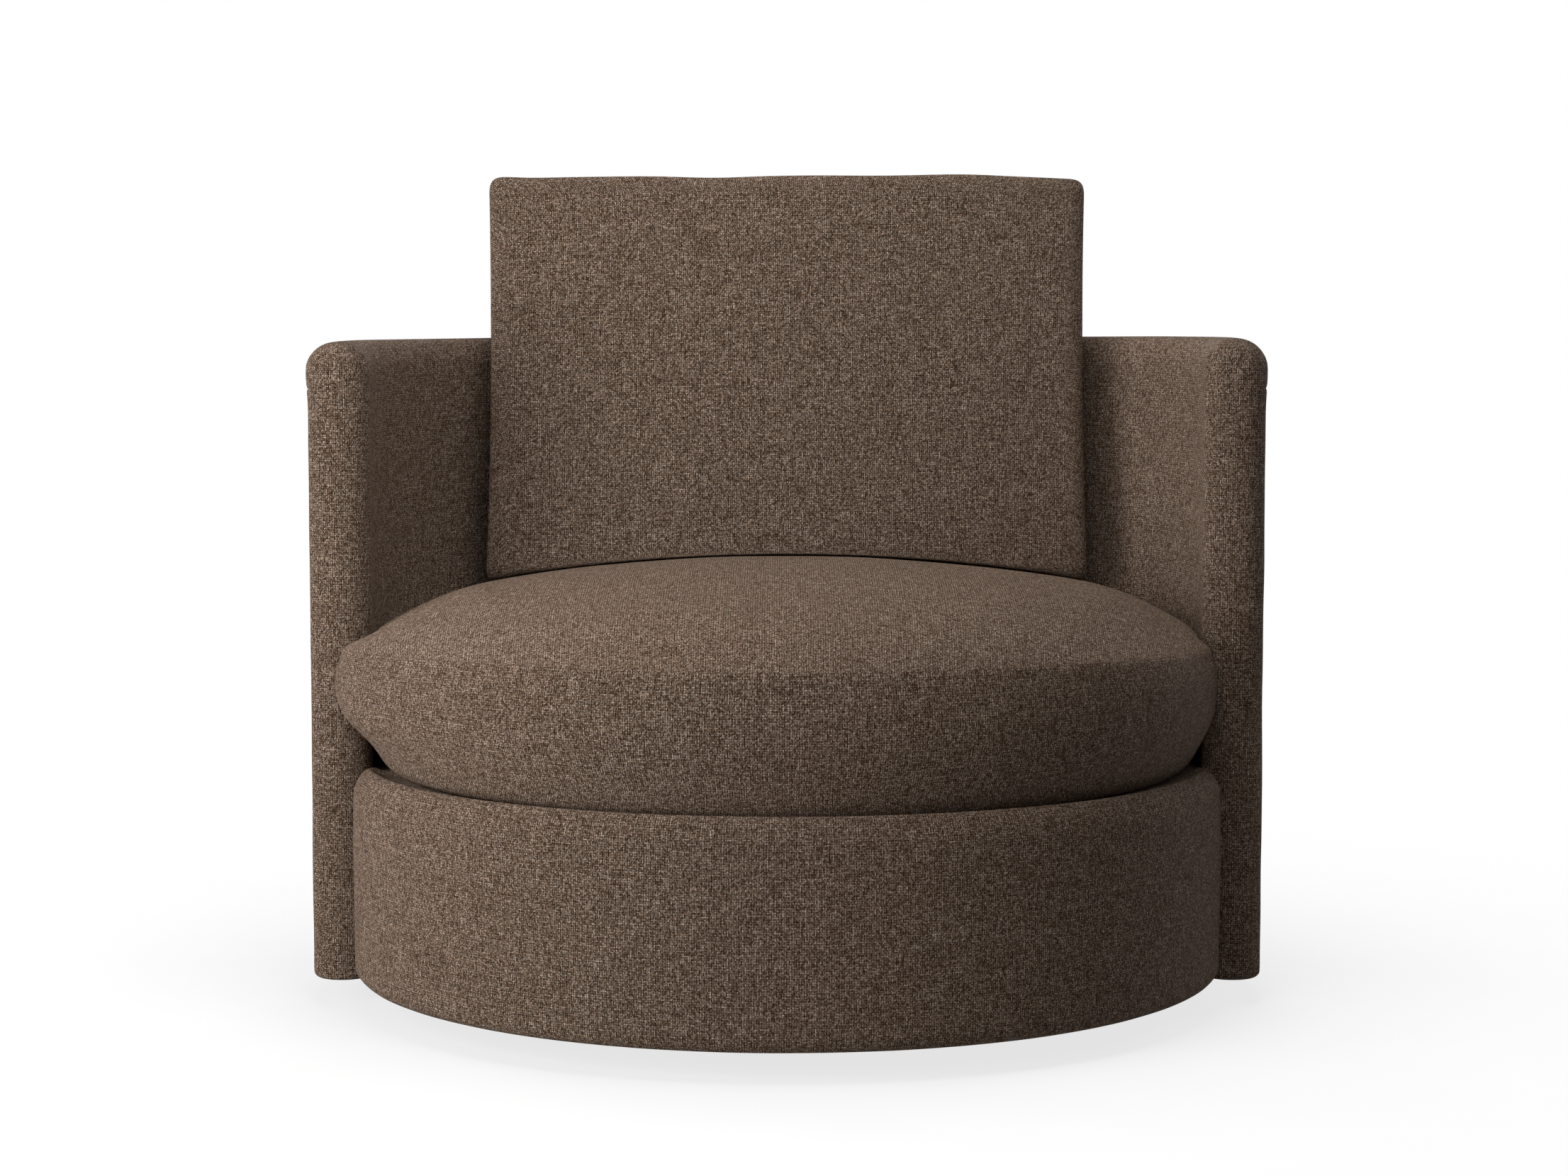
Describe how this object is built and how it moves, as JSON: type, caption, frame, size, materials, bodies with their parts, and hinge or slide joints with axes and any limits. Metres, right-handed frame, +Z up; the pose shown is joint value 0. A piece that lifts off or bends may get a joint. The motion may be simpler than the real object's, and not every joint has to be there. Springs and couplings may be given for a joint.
{
  "type": "barrel swivel chair",
  "caption": "Barrel lounge chair in tweed: a curved wall of arms and back around a round crowned seat cushion and a loose back cushion, turning on a hidden ball-bearing swivel base.",
  "frame": {"origin": "on the floor under the swivel axis, midway between front and back", "axes": "+Z up along the swivel axis, -Y the way the chair faces, +X to the right seen from the front"},
  "size_m": [1.016, 0.974, 0.8873],
  "materials": {
    "tweed": "matte",
    "cambric": "matte",
    "foam": "matte",
    "fibre": "matte",
    "plywood": "matte",
    "hardwood": "matte",
    "hardboard": "matte",
    "black_plywood": "satin",
    "zinc_steel": "satin",
    "bright_steel": "polished",
    "nylon": "satin",
    "zip_tape": "matte",
    "zip_metal": "satin"
  },
  "bodies": {
    "floor_base": {"base_disc": "black_plywood", "floor_glides": "nylon", "swivel_lower_plate": "zinc_steel", "base_screws": "zinc_steel"},
    "ball_bearing": {"bearing_balls": "bright_steel", "ball_cage": "nylon"},
    "seat_cushion": {"seat_cushion_cover": "tweed", "seat_cushion_wrap": "fibre", "seat_cushion_core": "foam", "seat_zip_tape": "zip_tape"},
    "seat_zip": {"seat_zip_slider": "zip_metal"},
    "back_cushion": {"back_cushion_cover": "tweed", "back_cushion_filling": "fibre", "back_zip_tape": "zip_tape"},
    "back_zip": {"back_zip_slider": "zip_metal"},
    "chair": {"arm_front_board_left": "plywood", "arm_front_board_right": "plywood", "arm_front_foam_left": "foam", "arm_front_foam_right": "foam", "barrel_bottom_rail": "plywood", "barrel_inside_foam": "foam", "barrel_outside_padding": "fibre", "barrel_posts": "hardwood", "barrel_top_rail": "plywood", "board_screws": "zinc_steel", "bottom_ring": "plywood", "centre_rivet": "zinc_steel", "cross_rails": "hardwood", "deck_cover": "tweed", "deck_pad": "foam", "dust_cover": "cambric", "front_rail_cover": "tweed", "front_rail_foam": "foam", "front_rail_panel": "plywood", "inner_liner": "hardboard", "inside_barrel_cover": "tweed", "joining_plates": "zinc_steel", "outer_liner": "hardboard", "outside_barrel_cover": "tweed", "seat_posts": "hardwood", "seat_ring": "plywood", "sinuous_springs": "bright_steel", "spring_clips": "zinc_steel", "spring_cloth": "cambric", "swivel_board": "plywood", "swivel_bolts": "zinc_steel", "swivel_nuts": "zinc_steel", "swivel_upper_plate": "zinc_steel", "tacking_strip": "hardboard", "top_roll_foam": "foam"}
  },
  "joints": [
    {"name": "seat_swivel", "type": "hinge", "parent": "floor_base", "child": "chair", "pos_m": [0, 0, 0.025], "axis": [0, 0, 1], "continuous": true},
    {"name": "bearing_roll", "type": "hinge", "parent": "floor_base", "child": "ball_bearing", "pos_m": [0, 0, 0.025], "axis": [0, 0, 1], "continuous": true},
    {"name": "seat_cushion_lift", "type": "slide", "parent": "chair", "child": "seat_cushion", "axis": [0, 0, 1], "range_m": [0, 0.3]},
    {"name": "back_cushion_lift", "type": "slide", "parent": "seat_cushion", "child": "back_cushion", "axis": [0, 0, 1], "range_m": [0, 0.3]},
    {"name": "seat_zip_run", "type": "hinge", "parent": "seat_cushion", "child": "seat_zip", "pos_m": [0, -0.021, 0.325], "axis": [0, 0, 1], "range_deg": [-84, 0]},
    {"name": "back_zip_run", "type": "slide", "parent": "back_cushion", "child": "back_zip", "axis": [1, 0, 0], "range_m": [0, 0.28]}
  ],
  "couplings": [
    {"joint": "bearing_roll", "follows": "seat_swivel", "ratio": 0.5}
  ]
}
